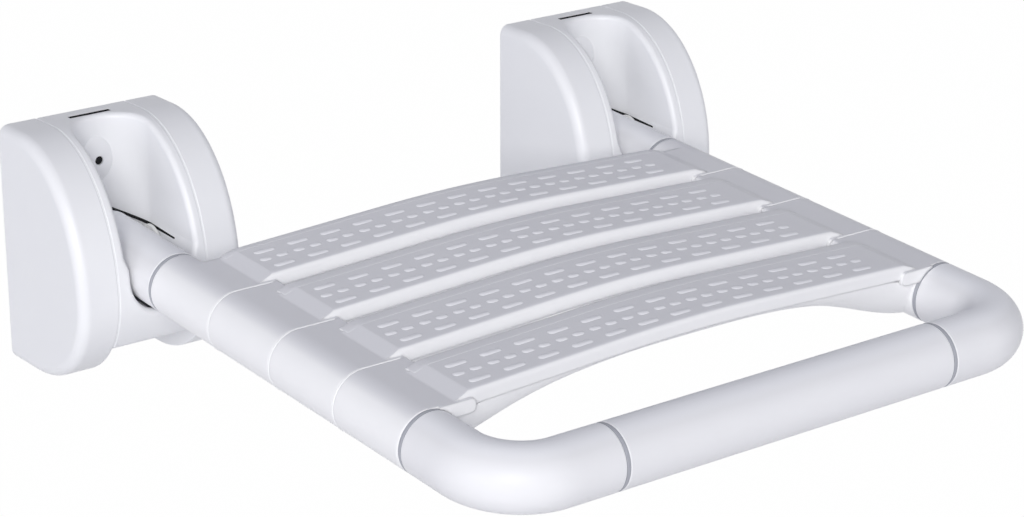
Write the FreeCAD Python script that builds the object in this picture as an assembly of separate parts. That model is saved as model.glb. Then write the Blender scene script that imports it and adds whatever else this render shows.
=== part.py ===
import FreeCAD, Part
import math
import os

# Fold down wall seat: two wall housings, and a U shaped frame with four slats.
# Millimetres. X runs to the right, Y towards the wall, Z up.
# The origin lies on the wall, midway between the housings, level with the hinge.

V = FreeCAD.Vector
os.makedirs("parts", exist_ok=True)

# The seat as a whole
arm_spacing = 339.0       # from one arm's centre line to the other's
pivot_out = 38.6          # from the wall to the hinge line
elbow_straight = 25.5     # from the last seam to the start of the bend
bend_radius = 32.5        # centre line of the two front bends
seat_slope = 3.3          # the seat falls this many degrees to the front

# Tube and sleeves
tube_d = 25.0
tube_wall = 2.0
sleeve_d = 34.6
sleeve_fit = 0.1          # sleeve on tube, radial
neck_length = 58.6        # from the hinge line to the first seam
seam_gap = 0.2            # between neighbouring slats
seam_bevel = 0.7
ring_width = 2.0          # dark rings beside the bends
ring_sink = 1.2           # how far the rings lie below the sleeves
front_sleeve_length = 214.0

# Slats
slat_count = 4
slat_pitch = 57.3
plank_front = 2.2         # plank edge behind the slat's front seam
plank_rear = 15.6         # plank edge before the slat's rear seam
plank_end = 144.5         # half the length of the crowned top
crown = 26.2              # top of the plank in the middle, above the arm's line
crown_half = 46.0         # half the length of the rounded middle of the plank
plank_end_top = 20.6      # top of the plank at its ends
plank_thick = 8.0
plank_edge_r = 2.4
shoulder_in = 27.5        # the flat shoulder runs this far in from the arm's line
shoulder_low = 9.6        # underside of the shoulder
shoulder_r = 3.0
flank_run = 10.0          # slope from the plank's top down to the shoulder
slot_corner_r = 8.0
belly_inset = 1.0         # belly inside the plank's edges
belly_mid = 11.4          # lowest line of the belly in the middle
rib_wall = 2.6
pocket_reach = 8.0        # half the width of the ribbed underside
rib_pitch = 24.0
pocket_half = 86.0        # half the length of the ribbed underside
pocket_skin = 3.4

# Housings
housing_width = 101.2
body_width = 55.0
housing_top = 71.0
housing_bottom = 64.0
housing_depth = 82.4
belly_drop = 11.0         # deepest point of the side profile, below the hinge
top_flat = 18.0
bottom_flat = 26.0
cheek_edge_r = 6.0
shell = 3.0
parting = 0.3
parting_edge_r = 0.8
channel_width = 43.0
channel_back = 14.0       # from the wall to the back of the scoop
channel_rim_r = 3.0
back_skin = 2.5
lip_drop = 20.6           # top of the bridge below the arm
arm_gap = 2.0             # between the arm and the narrow part of the scoop
ledge_low = 4.0           # the scoop narrows between these two heights
ledge_high = 11.0
cradle_out = 30.0         # the round cradle under the arm starts this far ahead of the hinge
nose_gap = 0.6            # between the arm's rear end and the scoop's round back
bridge_wall = 4.0
body_bottom = 42.0
body_floor = 4.0
body_toe_r = 7.0
slot_half = 13.0          # notch in the top, behind the scoop
slot_depth = 4.4
dome_z = 46.0
dome_rise = 4.0
dome_half = 13.0
peg_d = 6.0
peg_depth = 3.6
screw_sink = 6.0          # the housing screw's head bears this far behind the scoop's back

# Wall bracket, pin and stop
plate_thick = 4.0
plate_half = 43.0
plate_top = 59.0
plate_bottom = 51.0
plate_corner_r = 6.0
wall_hole_d = 6.6
wall_hole_x = 34.0
wall_hole_high = 44.0
wall_hole_low = 36.0
ear_thick = 3.8
ear_nose_r = 15.0
ear_root_high = 30.0
ear_root_low = 34.0
pin_d = 12.0
pin_run = 0.05            # bush on pin, radial
pin_head_d = 18.0
pin_head = 3.0
clip_thick = 1.1
clip_groove = 1.0
bush_d = 16.0
bush_fit = 0.05
collar_d = 22.0
neck_side = 16.9          # spot face on the neck, from the arm's line
stop_forward = 21.4       # stop bar ahead of the hinge line
stop_bar_d = 8.0
stop_sleeve_d = 14.0
stop_sleeve_half = 16.0
stop_touch = 0.3          # rest clearance over the stop sleeve
stop_ear_r = 8.5
eye_straight = 22.0       # from the hinge line to the tube's end
spigot_length = 26.0
clear = 0.3               # between pieces that do not fit together

# Small screws
screw_shank_d = 2.8
screw_head_d = 4.6
screw_head = 2.0
neck_screw_d = 5.0
neck_screw_head_d = 9.0
neck_screw_head = 2.5
neck_screw_at = 36.0

# Sizes that follow from the ones above
half_span = arm_spacing / 2
sleeve_r = sleeve_d / 2
arm_top = sleeve_r
tube_r = tube_d / 2
bore_r = tube_r + sleeve_fit
first_seam = neck_length
last_seam = neck_length + slat_count * slat_pitch
bend_start = last_seam + elbow_straight
reach = bend_start + bend_radius     # from the hinge line to the middle of the front bar
front_half = front_sleeve_length / 2
body_half = body_width / 2
housing_half = housing_width / 2
channel_half = channel_width / 2
channel_centre = channel_back + channel_half
slot_side = sleeve_r + arm_gap
stop_drop = sleeve_r + stop_sleeve_d / 2 + stop_touch
ear_out = body_half - 0.2
ear_in = ear_out - ear_thick
plate_clear = plate_thick + clear


def box(x0, x1, y0, y1, z0, z1):
    return Part.makeBox(x1 - x0, y1 - y0, z1 - z0, V(x0, y0, z0))


def rod_x(x0, x1, y, z, r):
    return Part.makeCylinder(r, x1 - x0, V(x0, y, z), V(1, 0, 0))


def rod_y(y0, y1, x, z, r):
    return Part.makeCylinder(r, y1 - y0, V(x, y0, z), V(0, 1, 0))


def rod_z(z0, z1, x, y, r):
    return Part.makeCylinder(r, z1 - z0, V(x, y, z0), V(0, 0, 1))


def line(a, b):
    return Part.LineSegment(a, b).toShape()


def quarter(centre, a, b):
    """A quarter of an ellipse about centre, from a to b."""
    if (a - centre).Length < (b - centre).Length:
        a, b = b, a
    return Part.ArcOfEllipse(Part.Ellipse(a, b, centre), 0, math.pi / 2).toShape()


def prism(edges, way):
    return Part.Face(Part.Wire(edges)).extrude(way)


def edges_where(shape, test):
    return [e for e in shape.Edges if test(e)]


def spans(edge, axis, low, high):
    """True where the whole edge lies between two levels of one axis."""
    b = edge.BoundBox
    ends = {"x": (b.XMin, b.XMax), "y": (b.YMin, b.YMax), "z": (b.ZMin, b.ZMax)}[axis]
    return ends[0] > low and ends[1] < high


def belt(circles, x0, x1, grow=0.0):
    """A plate between x0 and x1 whose outline runs like a belt round circles.

    Each circle is (y, z, r), listed anticlockwise as seen from +X.
    """
    count = len(circles)
    touch = []
    for i in range(count):
        y1, z1, r1 = circles[i]
        y2, z2, r2 = circles[(i + 1) % count]
        r1 += grow
        r2 += grow
        run = math.hypot(y2 - y1, z2 - z1)
        turn = math.atan2(z2 - z1, y2 - y1) - math.acos((r1 - r2) / run)
        out = V(0, math.cos(turn), math.sin(turn))
        touch.append((V(x0, y1, z1) + out * r1, V(x0, y2, z2) + out * r2, turn))
    edges = []
    for i in range(count):
        y, z, r = circles[i]
        before = touch[i - 1]
        after = touch[i]
        sweep = (after[2] - before[2]) % (2 * math.pi)
        mid = before[2] + sweep / 2
        crest = V(x0, y, z) + V(0, math.cos(mid), math.sin(mid)) * (r + grow)
        edges.append(Part.Arc(before[1], crest, after[0]).toShape())
        edges.append(line(after[0], after[1]))
    return prism(edges, V(x1 - x0, 0, 0))


def one(shape):
    """The fused shape without the seams that the fusing left."""
    return shape.removeSplitter()


parts = {}


def tilt_seat(shape):
    """From the arms' own level to the seat's slope at the wall."""
    shape.rotate(V(0, 0, 0), V(1, 0, 0), seat_slope)
    shape.translate(V(0, -pivot_out, 0))
    return shape


def keep(name, shape):
    parts[name] = shape


# Arms and frame, built level with the hinge line at the origin

def arm_length(s0, s1, x=0.0):
    """A length of arm between two distances ahead of the hinge line."""
    return rod_y(-s1, -s0, x, 0, sleeve_r)


def bent_rod(r, back, x_end=None):
    """Right half of the frame as a rod, from the distance back round to x_end."""
    turn = V(half_span - bend_radius, -bend_start, 0)
    leg = rod_y(-bend_start, -back, half_span, 0, r)
    ring = Part.Face(Part.Wire(Part.Circle(V(half_span, -bend_start, 0), V(0, 1, 0), r).toShape()))
    bend = ring.revolve(turn, V(0, 0, 1), -90)
    bar = rod_x(x_end, turn.x, -reach, 0, r)
    return one(leg.fuse([bend, bar]))


def left_of(shape):
    return shape.mirror(V(0, 0, 0), V(1, 0, 0))


def frame_tube():
    outer = bent_rod(tube_r, eye_straight, 0)
    inner = bent_rod(tube_r - tube_wall, eye_straight, 0)
    half = outer.cut(inner)
    half = half.cut(rod_z(-tube_r - 1, 0, half_span, -neck_screw_at, neck_screw_d / 2 + clear))
    return one(half.fuse(left_of(half)))


def bevelled(shape, levels, axis):
    """Bevels the round edges of a sleeve that lie on the given levels."""
    rims = []
    for e in shape.Edges:
        for level in levels:
            if spans(e, axis, level - 0.01, level + 0.01):
                rims.append(e)
    return shape.makeChamfer(seam_bevel, rims)


def elbow_sleeve():
    back = last_seam
    solid = bent_rod(sleeve_r, back, front_half + ring_width)
    solid = bevelled(bevelled(solid, [-back], "y"), [front_half + ring_width], "x")
    return solid.cut(bent_rod(bore_r, back - 1, front_half))


def front_sleeve():
    solid = rod_x(-front_half, front_half, -reach, 0, sleeve_r)
    solid = bevelled(solid, [-front_half, front_half], "x")
    return solid.cut(rod_x(-front_half - 1, front_half + 1, -reach, 0, bore_r))


def seam_rings():
    rings = []
    for side in (-1, 1):
        across = rod_y(-last_seam, ring_width - last_seam, side * half_span, 0, sleeve_r - ring_sink)
        rings.append(across.cut(rod_y(-last_seam - 5, -last_seam + 5, side * half_span, 0, bore_r)))
        x0 = min(side * front_half, side * (front_half + ring_width))
        along = rod_x(x0, x0 + ring_width, -reach, 0, sleeve_r - ring_sink)
        rings.append(along.cut(rod_x(x0 - 5, x0 + 5, -reach, 0, bore_r)))
    return Part.makeCompound(rings)


# Slats

def crown_turn():
    """Tangent of half the angle at which the plank's straight ends fall away."""
    turn = 0.0
    for step in range(20):
        turn = (crown - plank_end_top) / (2 * (plank_end - crown_half) / (1 - turn ** 2) + crown_half)
    return turn


def crown_z(x, drop=0.0):
    """Height of the plank's top at x: rounded in the middle, straight to its ends."""
    turn = crown_turn()
    fall = 2 * turn / (1 - turn ** 2)
    if abs(x) > crown_half:
        return crown - drop - crown_half * turn - (abs(x) - crown_half) * fall
    radius = crown_half * (1 + turn ** 2) / (2 * turn)
    return crown - drop - radius + math.sqrt(radius ** 2 - x ** 2)


def crown_line(drop):
    """The plank's top line from left to right, lowered by drop."""
    mark = [V(x, 0, crown_z(x, drop)) for x in (-plank_end, -crown_half, 0, crown_half, plank_end)]
    return [line(mark[0], mark[1]), Part.Arc(mark[1], mark[2], mark[3]).toShape(), line(mark[3], mark[4])]


def plank_band():
    """The plank seen along Y: crowned top, flanks at its ends, even thickness."""
    foot = plank_end + flank_run
    low = shoulder_low + 0.5
    edges = crown_line(0) + crown_line(plank_thick)
    for side in (-1, 1):
        corner = V(side * plank_end, 0, plank_end_top)
        flank = V(side * foot, 0, arm_top - 0.2)
        heel = V(side * foot, 0, low)
        edges += [line(corner, flank), line(flank, heel), line(heel, corner - V(0, 0, plank_thick))]
    return Part.__sortEdges__(edges)


plank_width = slat_pitch - plank_front - plank_rear
belly_half = plank_width / 2 - belly_inset


def belly_low(x):
    """Lowest line of the belly: level in the middle, and level again under the arms."""
    share = math.sin(math.pi / 2 * (abs(x) / half_span) ** 1.8) ** 2
    return belly_mid - (belly_mid + sleeve_r - clear) * share


def belly(mid_y):
    """The hull under the plank, from arm to arm, through half ellipses."""
    sections = []
    for share in (-1, -0.86, -0.72, -0.55, -0.3, 0, 0.3, 0.55, 0.72, 0.86, 1):
        x = share * half_span
        top = crown_z(min(abs(x), plank_end)) - plank_thick + 1.0
        if abs(x) > plank_end:
            top = shoulder_low + 1.0
        low = belly_low(x)
        left = V(x, mid_y - belly_half, top)
        right = V(x, mid_y + belly_half, top)
        foot = V(x, mid_y, low)
        centre = V(x, mid_y, top)
        edges = [quarter(centre, left, foot), quarter(centre, foot, right), line(right, left)]
        sections.append(Part.Wire(Part.__sortEdges__(edges)))
    return Part.makeLoft(sections, True, False)


def shoulder(side):
    """The flat shoulder that runs in from one arm, rounded at its inner end."""
    inner = half_span - shoulder_in
    solid = box(inner, half_span, 0, slat_pitch - seam_gap, shoulder_low, arm_top)
    ends = edges_where(solid, lambda e: spans(e, "x", inner - 0.01, inner + 0.01) and e.Length > slat_pitch / 2)
    solid = solid.makeFillet(min(shoulder_r, 0.45 * (arm_top - shoulder_low)), ends)
    return solid if side > 0 else left_of(solid)


def slot_corner(side):
    """Rounds the slot where the plank's rear edge meets the shoulder."""
    inner = half_span - shoulder_in
    rear = slat_pitch - plank_rear
    solid = box(inner - slot_corner_r, inner + 1, rear - 1, rear + slot_corner_r, shoulder_low + 1, arm_top - 0.6)
    solid = solid.cut(rod_z(0, 40, inner - slot_corner_r, rear + slot_corner_r, slot_corner_r))
    return solid if side > 0 else left_of(solid)


def rib_pocket(mid_y):
    """The hollow under the plank between its ribs, following the belly."""
    bays = max(2, 2 * round(pocket_half / rib_pitch))
    step = 2 * pocket_half / bays
    hollow = []
    for i in range(bays):
        x0 = -pocket_half + i * step + rib_wall / 2
        x1 = x0 + step - rib_wall
        top = min(crown_z(abs(x0)), crown_z(abs(x1))) - pocket_skin
        hollow.append(box(x0, x1, mid_y - pocket_reach, mid_y + pocket_reach, -sleeve_r, top))
    return Part.makeCompound(hollow)


def slat(ring_room):
    """One slat with its rear seam at y = slat_pitch - seam_gap and its front seam at 0.

    The arms begin at ring_room, so that a ring can lie in front of them.
    """
    length = slat_pitch - seam_gap
    mid_y = (plank_front + slat_pitch - plank_rear) / 2
    plank = prism(plank_band(), V(0, plank_width, 0))
    plank.translate(V(0, plank_front, 0))
    rims = edges_where(plank, lambda e: e.BoundBox.XLength > crown_half
                       and spans(e, "z", plank_end_top - 1, crown + 1))
    plank = plank.makeFillet(plank_edge_r, rims)
    solid = plank.fuse(belly(mid_y))
    for side in (-1, 1):
        solid = solid.fuse(shoulder(side)).fuse(slot_corner(side))
    for side in (-1, 1):
        free = rod_y(-1, ring_room, side * half_span, 0, sleeve_r + 0.1)
        x0, x1 = sorted((side * (half_span - sleeve_r / 3), side * (half_span + sleeve_r)))
        free = free.fuse(box(x0, x1, -1, ring_room, 0, arm_top + 1))
        solid = solid.cut(free)
        arm = rod_y(ring_room, length, side * half_span, 0, sleeve_r)
        solid = solid.fuse(bevelled(arm, [ring_room, length], "y"))
    solid = one(solid)
    for side in (-1, 1):
        solid = solid.cut(rod_y(-1, slat_pitch + 1, side * half_span, 0, bore_r))
    return solid.cut(rib_pocket(mid_y))


def cut_back(solid):
    """The rear slat's shoulders stop short, so that they fold up between the housing's walls."""
    length = slat_pitch - seam_gap
    y0 = slat_pitch - plank_rear + plank_edge_r / 8
    for side in (-1, 1):
        keep_arm = rod_y(y0 - 1, 2 * slat_pitch, side * half_span, 0, sleeve_r)
        inner = side * (half_span - sleeve_r - shoulder_in)
        outer = side * half_span
        tool = box(min(inner, outer), max(inner, outer), y0, length + 1, -sleeve_r - 1, crown)
        solid = solid.cut(tool.cut(keep_arm))
    return solid


def place_slat(shape, number):
    shape = shape.copy()
    shape.translate(V(0, -(first_seam + number * slat_pitch) + seam_gap / 2, 0))
    return shape


# Arm ends: neck, eye, bushes and screw, built at x = 0

def hub_round(length, r):
    """What keeps an arm end inside a round nose about the hinge line."""
    wide = 2 * sleeve_r
    return rod_x(-wide, wide, 0, 0, r).fuse(box(-wide, wide, -length, 0, -wide, wide))


def nose_round():
    """What the scoop's round back leaves for an arm end that turns about the hinge line."""
    wide = sleeve_r + clear
    centre = pivot_out - channel_centre
    reach_back = channel_half - nose_gap
    side_r = centre + math.sqrt(reach_back ** 2 - wide ** 2)
    crest = Part.Arc(V(-wide, side_r, 0), V(0, centre + reach_back, 0), V(wide, side_r, 0)).toShape()
    outline = [
        line(V(-wide, 0, 0), V(-wide, side_r, 0)),
        crest,
        line(V(wide, side_r, 0), V(wide, 0, 0)),
        line(V(wide, 0, 0), V(-wide, 0, 0)),
    ]
    nose = Part.Face(Part.Wire(outline)).revolve(V(0, 0, 0), V(1, 0, 0), 360)
    return nose.fuse(box(-wide, wide, -2 * neck_length, 0, -2 * wide, 2 * wide))


def arm_neck():
    end = first_seam - seam_gap / 2 - ring_width
    solid = arm_length(-pivot_out, end).common(nose_round())
    solid = bevelled(solid, [-end], "y")
    solid = solid.fuse(rod_y(-first_seam + seam_gap / 2, -end + 1, 0, 0, sleeve_r - ring_sink))
    hollow = rod_y(-first_seam - 5, bore_r, 0, 0, bore_r).common(hub_round(2 * neck_length, bore_r))
    solid = solid.cut(hollow)
    for side in (-1, 1):
        x0 = min(side * neck_side, side * 2 * sleeve_r)
        solid = solid.cut(rod_x(x0, x0 + 2 * sleeve_r - neck_side, 0, 0, collar_d / 2 + clear))
    solid = solid.cut(rod_x(-sleeve_r, sleeve_r, 0, 0, bush_d / 2 + bush_fit))
    head_low = -sleeve_r - 1
    head_top = -sleeve_r + neck_screw_head + clear
    solid = solid.cut(rod_z(head_low, head_top, 0, -neck_screw_at, neck_screw_head_d / 2 + clear))
    return solid.cut(rod_z(head_low, 0, 0, -neck_screw_at, neck_screw_d / 2 + clear))


def hinge_eye():
    nose = rod_y(-eye_straight + 0.1, tube_r, 0, 0, tube_r).common(hub_round(eye_straight, tube_r))
    spigot = rod_y(-eye_straight - spigot_length, -eye_straight + 1, 0, 0, tube_r - tube_wall - sleeve_fit)
    solid = nose.fuse(spigot)
    solid = solid.cut(rod_x(-tube_r - 1, tube_r + 1, 0, 0, bush_d / 2))
    return solid.cut(rod_z(-tube_r - 1, -1, 0, -neck_screw_at, neck_screw_d / 2))


def pivot_bushes():
    pair = []
    for side in (-1, 1):
        tip = clear
        root = neck_side + 0.1
        face = slot_side - clear
        stem = rod_x(min(side * tip, side * root), max(side * tip, side * root), 0, 0, bush_d / 2 - bush_fit)
        collar = rod_x(min(side * root, side * face), max(side * root, side * face), 0, 0, collar_d / 2)
        bush = stem.fuse(collar)
        pair.append(bush.cut(rod_x(-channel_half, channel_half, 0, 0, pin_d / 2 + pin_run)))
    return Part.makeCompound(pair)


def neck_screw():
    seat = -sleeve_r + neck_screw_head
    head = rod_z(seat - neck_screw_head + 0.1, seat, 0, -neck_screw_at, neck_screw_head_d / 2)
    shank = rod_z(seat - 0.5, -1.5, 0, -neck_screw_at, neck_screw_d / 2 - 0.02)
    recess = rod_z(-sleeve_r - 1, seat - neck_screw_head / 2, 0, -neck_screw_at, neck_screw_d / 4)
    return head.fuse(shank).cut(recess)


# Wall housing and bracket, built about x = 0 with the wall at y = 0

def side_profile(x, inset=0.0):
    """The D shaped outline of a housing seen from the side."""
    top = housing_top - inset
    low = -housing_bottom + inset
    out = -housing_depth + inset
    flat_top = -top_flat
    flat_low = -bottom_flat
    level = -belly_drop
    return [
        line(V(x, 0, top), V(x, flat_top, top)),
        quarter(V(x, flat_top, level), V(x, flat_top, top), V(x, out, level)),
        quarter(V(x, flat_low, level), V(x, out, level), V(x, flat_low, low)),
        line(V(x, flat_low, low), V(x, 0, low)),
        line(V(x, 0, low), V(x, 0, top)),
    ]


def side_solid(x0, x1, inset=0.0):
    return prism(side_profile(x0, inset), V(x1 - x0, 0, 0))


def ear_belt(x0, x1, grow=0.0):
    root_r = 4.0
    stop_y, stop_z = stop_point()
    circles = [
        (-plate_thick + root_r, ear_root_high - root_r, root_r),
        (-pivot_out, 0, ear_nose_r),
        (stop_y, stop_z, stop_ear_r),
        (-plate_thick + root_r, -ear_root_low + root_r, root_r),
    ]
    return belt(circles, x0, x1, grow)


def stop_point():
    """Centre of the stop bar, under the arm at its lowered slope."""
    turn = math.radians(seat_slope)
    y = -stop_forward
    z = -stop_drop
    return (y * math.cos(turn) - z * math.sin(turn) - pivot_out, y * math.sin(turn) + z * math.cos(turn))


def wall_bracket():
    plate = box(-plate_half, plate_half, -plate_thick, 0, -plate_bottom, plate_top)
    corners = edges_where(plate, lambda e: spans(e, "y", -plate_thick - 1, 1) and e.BoundBox.YLength > plate_thick / 2)
    plate = plate.makeFillet(plate_corner_r, corners)
    solid = plate
    for side in (-1, 1):
        x0 = min(side * ear_in, side * ear_out)
        ear = ear_belt(x0, x0 + ear_thick)
        solid = solid.fuse(ear.common(box(-body_half, body_half, -housing_depth, -1, -plate_bottom, plate_top)))
    solid = one(solid)
    stop_y, stop_z = stop_point()
    solid = solid.cut(rod_x(-body_half, body_half, -pivot_out, 0, pin_d / 2 + 0.02))
    solid = solid.cut(rod_x(-body_half, body_half, stop_y, stop_z, stop_bar_d / 2 + 0.02))
    for x in (-wall_hole_x, wall_hole_x):
        for z in (-wall_hole_low, wall_hole_high):
            solid = solid.cut(rod_y(-plate_thick - 1, 1, x, z, wall_hole_d / 2))
    return solid.cut(rod_y(-plate_thick - 1, 1, 0, dome_z, screw_shank_d / 2 + 0.02))


def pivot_pin(outer):
    """Headed pin. outer is +1 or -1, the side of the head."""
    head_in = ear_out + 0.1
    end = ear_out + clip_thick + 2.2
    x0, x1 = sorted((outer * head_in, outer * (head_in + pin_head)))
    head = rod_x(x0, x1, -pivot_out, 0, pin_head_d / 2)
    x0, x1 = sorted((outer * head_in, -outer * end))
    shank = rod_x(x0, x1, -pivot_out, 0, pin_d / 2)
    x0, x1 = sorted((-outer * (ear_out + 0.15), -outer * (ear_out + 0.25 + clip_thick)))
    groove = rod_x(x0, x1, -pivot_out, 0, pin_d).cut(rod_x(x0, x1, -pivot_out, 0, pin_d / 2 - clip_groove))
    return head.fuse(shank).cut(groove)


def pin_clip(outer):
    """Open retaining ring in the pin's groove."""
    x0, x1 = sorted((-outer * (ear_out + 0.2), -outer * (ear_out + 0.2 + clip_thick)))
    ring = rod_x(x0, x1, -pivot_out, 0, pin_d / 2 + 2.2)
    ring = ring.cut(rod_x(x0, x1, -pivot_out, 0, pin_d / 2 - clip_groove + 0.05))
    mouth = box(x0 - 1, x1 + 1, -pivot_out - pin_d / 3, -pivot_out + pin_d / 3, 0, pin_d)
    return ring.cut(mouth)


def stop_bar():
    y, z = stop_point()
    return rod_x(-ear_out, ear_out, y, z, stop_bar_d / 2)


def stop_sleeve():
    y, z = stop_point()
    solid = rod_x(-stop_sleeve_half, stop_sleeve_half, y, z, stop_sleeve_d / 2)
    return solid.cut(rod_x(-stop_sleeve_half - 1, stop_sleeve_half + 1, y, z, stop_bar_d / 2 + 0.05))


def channel(z0, z1, half, centre, depth):
    """The scoop's plan, half round at the back and open to the front."""
    round_back = rod_z(z0, z1, 0, -centre, half)
    return round_back.fuse(box(-half, half, -depth, -centre, z0, z1))


def scoop(lip):
    """What the scoop takes out of a housing.

    Above, the whole width. Below, ahead of its round back, it narrows to the arm,
    and under the arm's front it ends in a round cradle. In between the bottom is open.
    """
    deep = 2 * housing_depth
    cradle_y = -pivot_out - cradle_out
    wide = channel(ledge_high, 2 * housing_top, channel_half, channel_centre, deep)
    back = rod_z(lip, ledge_high, 0, -channel_centre, channel_half)
    back = back.common(box(-channel_half, channel_half, -channel_centre, 0, lip, ledge_high))
    marks = [
        V(-slot_side, -deep, ledge_low),
        V(slot_side, -deep, ledge_low),
        V(channel_half, -deep, ledge_high),
        V(-channel_half, -deep, ledge_high),
    ]
    rim = [line(marks[i], marks[(i + 1) % 4]) for i in range(4)]
    taper = prism(rim, V(0, deep - channel_centre, 0))
    slot = box(-slot_side, slot_side, cradle_y, -channel_centre, lip, ledge_low)
    trough = rod_y(-deep, 1 - cradle_out, 0, 0, slot_side)
    trough = trough.fuse(box(-slot_side, slot_side, -deep, 1 - cradle_out, 0, slot_side))
    trough = tilt_seat(trough).common(box(-channel_half, channel_half, -deep, 0, -channel_half - deep, ledge_low))
    return wide.fuse([back, taper, slot, trough])


def housing():
    solid = side_solid(-body_half, body_half)
    solid = solid.cut(box(-body_half - 1, body_half + 1, -housing_depth - 1, 1, -housing_bottom - 1, -body_bottom))
    lip = -lip_drop
    solid = one(solid.cut(scoop(lip)))
    solid = solid.makeFillet(channel_rim_r, edges_where(solid, on_rim))
    toe = edges_where(solid, lambda e: spans(e, "z", -body_bottom - 0.01, -body_bottom + 0.01)
                      and e.BoundBox.YMax < -bottom_flat and e.BoundBox.XLength > body_half)
    solid = solid.makeFillet(body_toe_r, toe)
    seams = edges_where(solid, lambda e: e.BoundBox.XLength < 0.01 and abs(e.BoundBox.XMin) > body_half - 0.01
                        and e.BoundBox.YMin < -plate_clear
                        and not spans(e, "z", -body_bottom - 0.01, -body_bottom + 0.01))
    solid = solid.makeFillet(parting_edge_r, seams)
    under = channel(-body_bottom + body_floor, lip + 1, channel_half, channel_centre, 2 * housing_depth)
    solid = solid.cut(under.common(side_solid(-body_half, body_half, bridge_wall)))
    solid = solid.fuse(dome())
    solid = solid.cut(rod_x(-slot_side, slot_side, -pivot_out, 0, collar_d / 2 + clear))
    return hollow_back(solid)


def on_outline(y, z):
    """True for a point on the housing's curved or flat outer face, seen from the side."""
    half_high = housing_top + belly_drop
    flat = top_flat
    if z < -belly_drop:
        half_high = housing_bottom - belly_drop
        flat = bottom_flat
    if y > -flat:
        return abs(z - housing_top) < 0.01
    return abs(((y + flat) / (housing_depth - flat)) ** 2 + ((z + belly_drop) / half_high) ** 2 - 1) < 0.001


def on_rim(edge):
    """The scoop's rim, where its walls meet the outer face."""
    b = edge.BoundBox
    if b.XMin < -channel_half - 0.05 or b.XMax > channel_half + 0.05:
        return False
    first, last = edge.ParameterRange
    for share in (0.0, 0.5, 1.0):
        p = edge.valueAt(first + (last - first) * share)
        if not on_outline(p.y, p.z):
            return False
    return True


def dome():
    """Low round dome on the scoop's back, which takes the housing's screw."""
    radius = (dome_half ** 2 + dome_rise ** 2) / (2 * dome_rise)
    tip = -channel_back - dome_rise
    ball = Part.makeSphere(radius, V(0, tip + radius, dome_z))
    front = box(-dome_half, dome_half, tip - 1, -channel_back + 1, dome_z - dome_half, dome_z + dome_half)
    return ball.common(front)


def hollow_back(solid):
    """Plate seat, hollow behind the scoop, top notch, ear slots and holes."""
    back = -channel_back + back_skin
    half = channel_half - back_skin
    solid = solid.cut(box(-body_half - 1, body_half + 1, -plate_clear, 1, -housing_bottom, plate_top + clear))
    hollow = box(-half, half, back, 1, -body_bottom + body_floor, plate_top + clear)
    hollow = hollow.fuse(box(-half, half, back, -back_skin, plate_top, housing_top - shell))
    post = rod_y(back - 1, -plate_clear, 0, dome_z, screw_head_d / 2 + back_skin)
    solid = solid.cut(hollow).fuse(post)
    solid = solid.cut(box(-slot_half, slot_half, back, back + slot_depth, housing_top - shell - 1, housing_top + 1))
    stop_y, stop_z = stop_point()
    for side in (-1, 1):
        x0, x1 = sorted((side * (ear_in - clear), side * (body_half + 1)))
        solid = solid.cut(ear_belt(x0, x1, clear))
    solid = solid.cut(rod_x(-body_half - 1, body_half + 1, -pivot_out, 0, pin_d / 2 + clear))
    solid = solid.cut(rod_x(-body_half - 1, body_half + 1, stop_y, stop_z, stop_bar_d / 2 + clear))
    mouth = -channel_back - dome_rise - 1
    sunk = -channel_back + screw_sink
    solid = solid.cut(rod_y(mouth, sunk, 0, dome_z, screw_head_d / 2 + 0.2))
    solid = solid.cut(rod_y(mouth, 1, 0, dome_z, screw_shank_d / 2 + 0.1))
    for y, z in peg_points():
        for side in (-1, 1):
            x0, x1 = sorted((side * (body_half - peg_depth - clear), side * (body_half + 1)))
            solid = solid.cut(rod_x(x0, x1, y, z, peg_d / 2 + 0.05))
    return solid


def peg_points():
    """Where the cheeks' pegs enter the housing's side walls."""
    return [(-channel_back - 10, plate_top - 8), (-channel_back - 12, -ear_root_low - 3.5)]


def housing_screw():
    sunk = -channel_back + screw_sink
    head = rod_y(sunk - screw_head, sunk, 0, dome_z, screw_head_d / 2)
    shank = rod_y(sunk - 0.5, -0.5, 0, dome_z, screw_shank_d / 2)
    recess = rod_y(sunk - screw_head - 1, sunk - screw_head / 2, 0, dome_z, screw_shank_d / 3)
    return head.fuse(shank).cut(recess)


def cheek(side):
    """One side cover. side is +1 for the cover on the right of its housing."""
    x0 = body_half + parting
    x1 = housing_half
    solid = side_solid(x0, x1)
    rim = edges_where(solid, lambda e: spans(e, "x", x1 - 0.01, x1 + 0.01) and e.BoundBox.YMin < -1)
    solid = solid.makeFillet(cheek_edge_r, rim)
    seam = edges_where(solid, lambda e: spans(e, "x", x0 - 0.01, x0 + 0.01) and e.BoundBox.YMin < -1)
    solid = solid.makeFillet(parting_edge_r, seam)
    pocket = side_solid(x0 + shell, x1 - shell, shell)
    pocket = pocket.fuse(box(x0 + shell, x1 - shell, -1, 1, -housing_bottom + shell, housing_top - shell))
    open_low = -body_bottom + body_toe_r + shell
    window = side_solid(x0 - 1, x0 + shell + 1, 2 * shell)
    window = window.common(box(x0 - 1, x1, -housing_depth, 1, open_low, housing_top))
    solid = solid.cut(pocket.fuse(window))
    solid = solid.cut(box(x0 - 1, x0 + shell + 1, -plate_clear, 1, -plate_bottom - clear, plate_top + clear))
    for y, z in peg_points():
        solid = solid.fuse(rod_x(body_half - peg_depth, x1 - shell + 0.5, y, z, peg_d / 2))
    solid = one(solid)
    return solid if side > 0 else left_of(solid)


# Everything in place

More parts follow.
